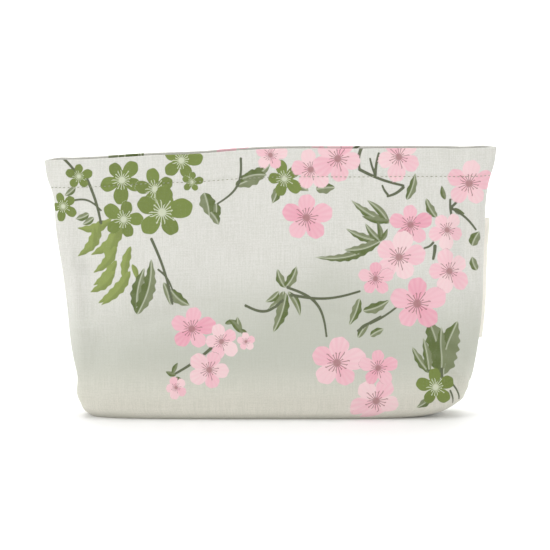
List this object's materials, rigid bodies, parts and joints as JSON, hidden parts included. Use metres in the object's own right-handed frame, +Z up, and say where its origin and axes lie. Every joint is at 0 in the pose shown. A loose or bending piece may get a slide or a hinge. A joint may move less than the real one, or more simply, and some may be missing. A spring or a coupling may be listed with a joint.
{
  "type": "zippered pouch",
  "caption": "Soft padded cotton pouch that stands on a flat boxed base, with a folded rim band, a recessed zip and a side label.",
  "frame": {"origin": "middle of the flat base, on the surface the pouch stands on", "axes": "+X along the zip towards its closed end, -Y the front, +Z up"},
  "size_m": [0.2578, 0.044, 0.152],
  "materials": {
    "printed_cotton": "plain weave, matt, floral print",
    "fleece": "non-woven",
    "lining_cotton": "plain weave, matt",
    "zip_tape": "twill tape",
    "zip_coil": "nylon",
    "zip_metal": "antique plated",
    "thread": "polyester thread",
    "label_cotton": "woven tape"
  },
  "bodies": {
    "base": {"base_cloth": "printed_cotton", "base_padding": "fleece", "base_lining": "lining_cotton", "right_side_seam": "printed_cotton", "left_side_seam": "printed_cotton", "right_corner_seam": "printed_cotton", "left_corner_seam": "printed_cotton", "side_label": "label_cotton", "bottom_stop": "zip_metal"},
    "front_wall": {"front_cloth": "printed_cotton", "front_padding": "fleece", "front_lining": "lining_cotton", "front_zip_tape": "zip_tape", "front_zip_coil": "zip_coil", "front_top_stop": "zip_metal", "front_topstitch": "thread"},
    "back_wall": {"back_cloth": "printed_cotton", "back_padding": "fleece", "back_lining": "lining_cotton", "back_zip_tape": "zip_tape", "back_zip_coil": "zip_coil", "back_top_stop": "zip_metal", "back_topstitch": "thread"},
    "slider": {"slider_body": "zip_metal"},
    "pull": {"slider_pull": "zip_metal"}
  },
  "joints": [
    {"name": "slider_travel", "type": "slide", "parent": "base", "child": "slider", "axis": [-1, 0, 0], "range_m": [0, 0.1936]},
    {"name": "front_wall_fold", "type": "hinge", "parent": "base", "child": "front_wall", "pos_m": [0, -0.022, 0.006], "axis": [1, 0, 0], "range_deg": [0, 12.05], "deforming": ["front_zip_tape", "front_zip_coil"]},
    {"name": "back_wall_fold", "type": "hinge", "parent": "base", "child": "back_wall", "pos_m": [0, 0.022, 0.006], "axis": [-1, 0, 0], "range_deg": [0, 12.05], "deforming": ["back_zip_tape", "back_zip_coil"]},
    {"name": "pull_swing", "type": "hinge", "parent": "slider", "child": "pull", "pos_m": [0.0982, 0, 0.141], "axis": [0, 1, 0], "range_deg": [0, 175]}
  ],
  "couplings": [
    {"joint": "front_wall_fold", "follows": "slider_travel", "rad_per_m": 1.0818},
    {"joint": "back_wall_fold", "follows": "slider_travel", "rad_per_m": 1.0818}
  ]
}
